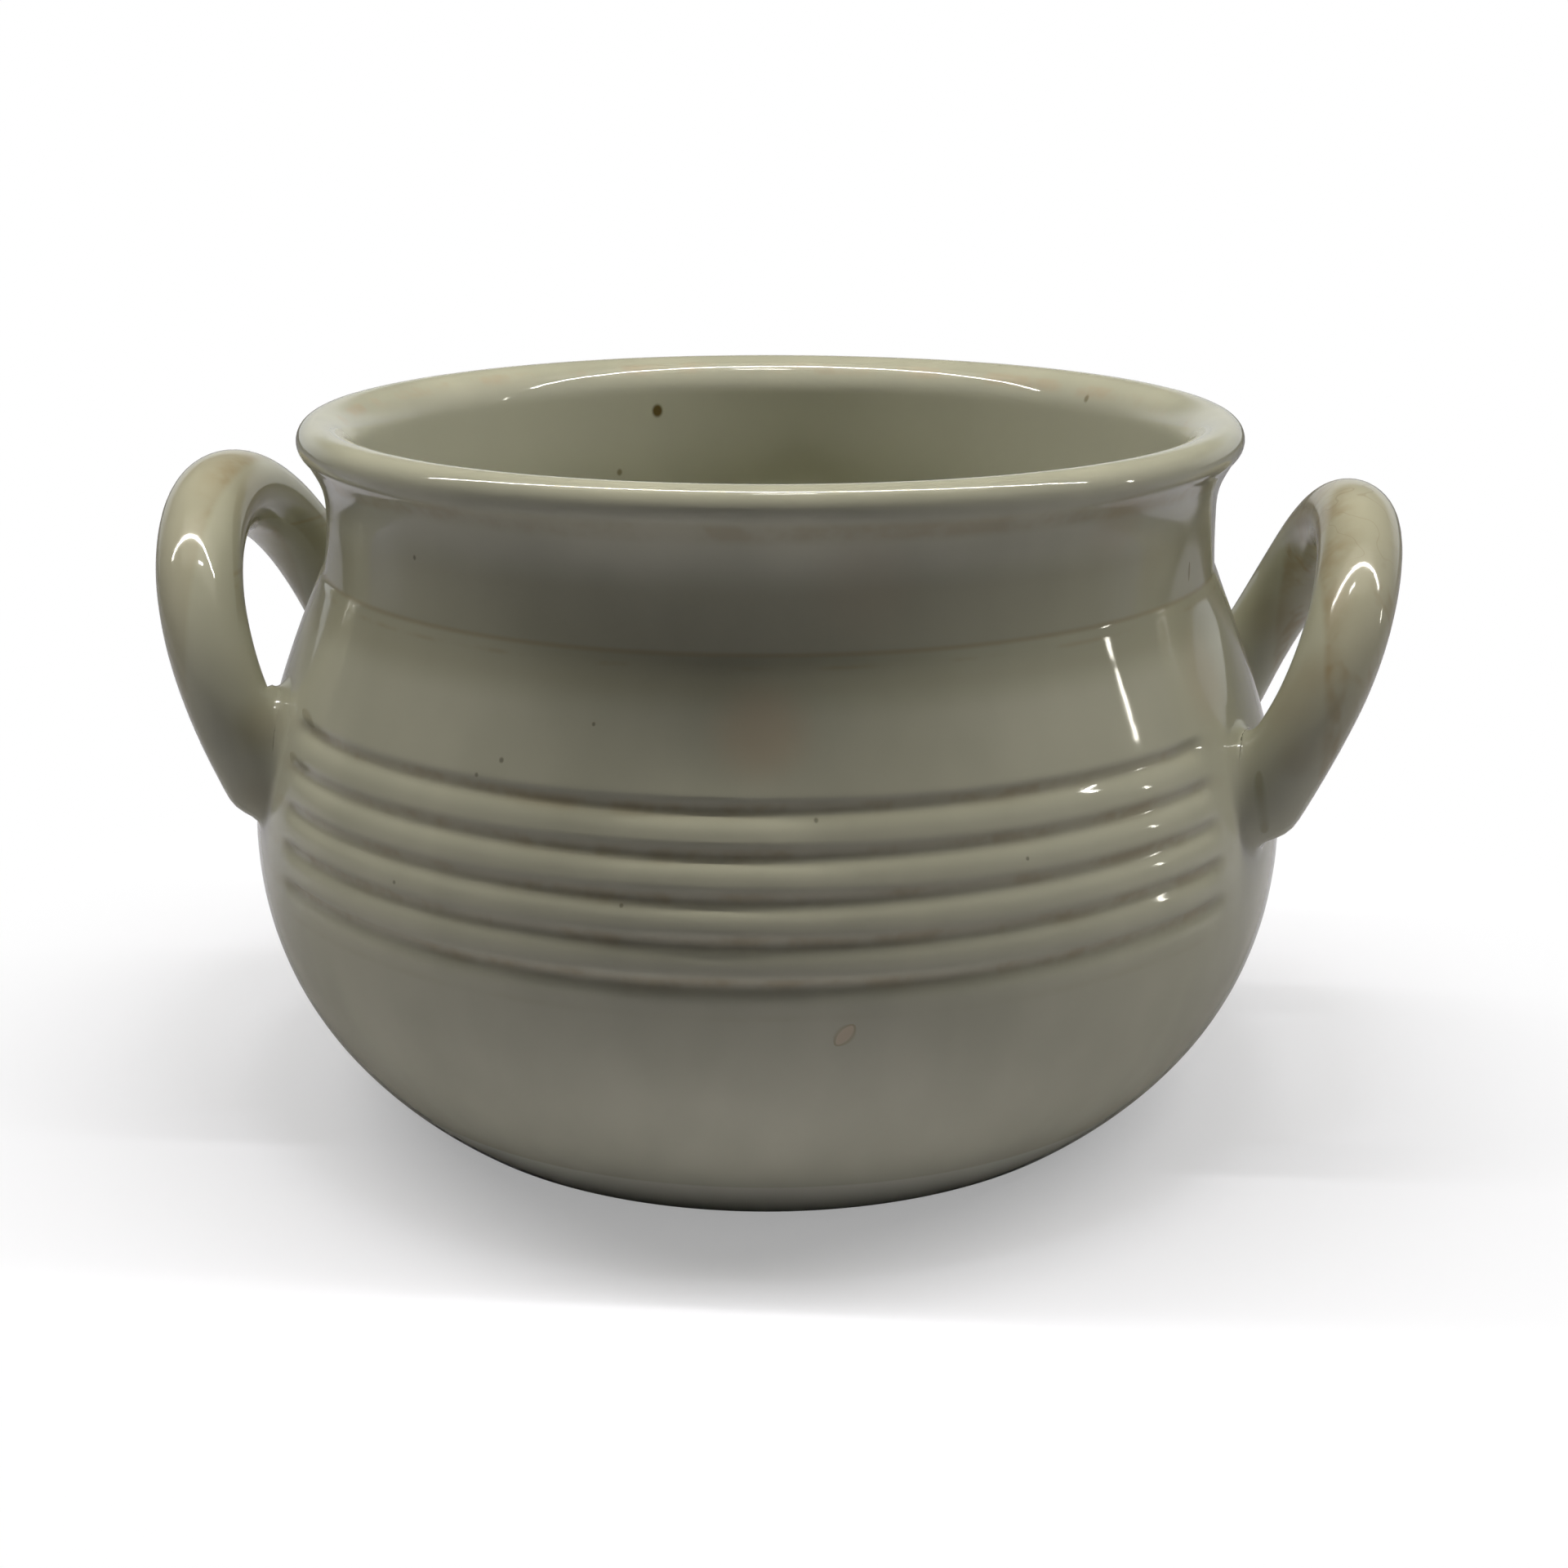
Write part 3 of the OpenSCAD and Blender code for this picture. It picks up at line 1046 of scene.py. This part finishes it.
def seen(tree):
    """1 for what the camera looks at, straight or through something clear, and 0 for other rays."""
    camera_ray = tree.node("ShaderNodeLightPath", out="Is Camera Ray")
    return camera_ray.maths("MAXIMUM", camera_ray.output("Is Transmission Ray"))


# Round the jar the floor is a sheet that glows only by this share and so keeps the jar's shadow, and
# over these distances from the axis it goes over into the white backdrop
floor_half = 3.0
sheet_glow = 0.35
sheet_end = (0.08, 0.20)

# The colour of the sheet in the camera's eye, and those that light the jar from near and from far
sheet_seen = (0.90, 0.91, 0.99, 1.0)
sheet_near = (0.80, 0.79, 0.90, 1.0)
sheet_around = (0.38, 0.38, 0.44, 1.0)
near_end = (0.09, 0.15)

# The colours that the glaze mirrors: before the jar, behind it and far behind it, and where they meet
sheet_before = (0.26, 0.25, 0.23, 1.0)
sheet_behind = (0.52, 0.52, 0.57, 1.0)
sheet_far_behind = (0.34, 0.34, 0.37, 1.0)
behind_from = (-0.05, 0.1)
far_from = (0.25, 0.45)


def floor():
    half = floor_half / MM
    corners = [(-half, -half, 0), (half, -half, 0), (half, half, 0), (-half, half, 0)]
    thing = mesh_thing("floor", corners, faces=[(0, 1, 2, 3)])
    material = bpy.data.materials.new("pale_floor")
    tree = emptied(material)
    x, y, _ = tree.parts(tree.node("ShaderNodeTexCoord", out="Object"))
    out = (x * x + y * y) ** 0.5
    colour = tree.blend(out.step(*near_end), sheet_near, sheet_around)
    behind = tree.blend(out.step(*far_from), sheet_behind, sheet_far_behind)
    mirrored = tree.blend(y.step(*behind_from), sheet_before, behind)
    colour = tree.blend(tree.node("ShaderNodeLightPath", out="Is Glossy Ray"), colour, mirrored)
    by_eye = seen(tree)
    colour = tree.blend(by_eye, colour, sheet_seen)
    lit = tree.node("ShaderNodeBsdfDiffuse", values={"Color": colour})
    glow = tree.node("ShaderNodeEmission", values={"Color": white, "Strength": 1.0})
    glowing = sheet_glow + (1.0 - sheet_glow) * out.step(*sheet_end)
    both = tree.node("ShaderNodeMixShader", values={0: glowing * by_eye, 1: lit, 2: glow})
    tree.node("ShaderNodeOutputMaterial", values={"Surface": both})
    thing.data.materials.append(material)


# The brightness of each wall of the room, what is added to it low down, and the tint of them all
wall_behind = (0.05, 0.54)
wall_at_right = (0.17, -0.09)
wall_at_left = (0.09, -0.05)
wall_tint = (0.97, 1.0, 1.02)


def room():
    """Walls behind and beside the jar, with nothing lit before it. The camera sees plain white there."""
    world = bpy.data.worlds.new("room")
    bpy.context.scene.world = world
    tree = emptied(world)
    right, back, up = tree.parts(tree.node("ShaderNodeTexCoord", out="Generated"))
    level = (right * right + back * back) ** 0.5 + 1e-4
    walls = 1.0 - up.step(0.55, 0.8)
    low = up.step(0.35, 0.2)
    behind = (back / level).step(0.4, 0.8) * walls
    ahead = (-back / level).step(0.4, 0.8) * walls
    aside = (walls - behind - ahead).clamp()
    at_right = aside * right.step(-0.02, 0.02)
    at_left = aside - at_right
    sides = [(behind, wall_behind), (at_right, wall_at_right), (at_left, wall_at_left)]
    strength = sum(side * (plain + added * low) for side, (plain, added) in sides)
    colour = tree.vector(*[strength * part for part in wall_tint])
    colour = tree.blend(seen(tree), colour, white)
    light = tree.node("ShaderNodeBackground", values={"Color": colour, "Strength": 1.0})
    tree.node("ShaderNodeOutputWorld", values={"Surface": light})


# The lamps: place, width and height, power, colour, and the place that each one points at
lamps = {
    "overhead_tube": ((0, 0.02, 1.0), (2.8, 0.03), 17.0, (1.0, 0.98, 0.93), (0, 0, 0.06)),
    "small_lamp": ((0.04, -0.16, 1.0), (0.15, 0.03), 0.5, (1.0, 1.0, 1.0), (0, 0, 0.06)),
    "ceiling": ((0, 0, 1.5), (2.0, 0.8), 6.0, (1.0, 0.94, 0.78), (0, 0, 0.06)),
    "side_strip": ((1.0, 0.075, 0.297), (0.022, 0.10), 0.18, (1.0, 0.97, 0.86), (0, 0, 0.08)),
}


def lamp(name, place, size, power, colour, target):
    data = bpy.data.lights.new(name, "AREA")
    data.shape = "RECTANGLE"
    data.size, data.size_y = size
    data.energy = power
    data.color = colour
    thing = placed(name, data)
    thing.location = place
    thing.rotation_euler = (Vector(place) - Vector(target)).to_track_quat("Z", "Y").to_euler()


coat = glaze()
jar = turned_wall(coat)
outwards(jar)
loops = [handle_thing(name, handle) for name, handle in handles.items()]
for loop in loops:
    outwards(loop)
    loop.data.materials.append(coat)
joined(jar, loops)
uneven_tree(coat).apply(jar)
jar.data.shade_smooth()
for name, marks in stains.items():
    stained(jar, name, marks)
jar.name = "stoneware_jar"
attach(jar, "root")
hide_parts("jar")

camera()
floor()
for name, values in lamps.items():
    lamp(name, *values)
room()
bpy.context.scene.view_settings.view_transform = "Standard"
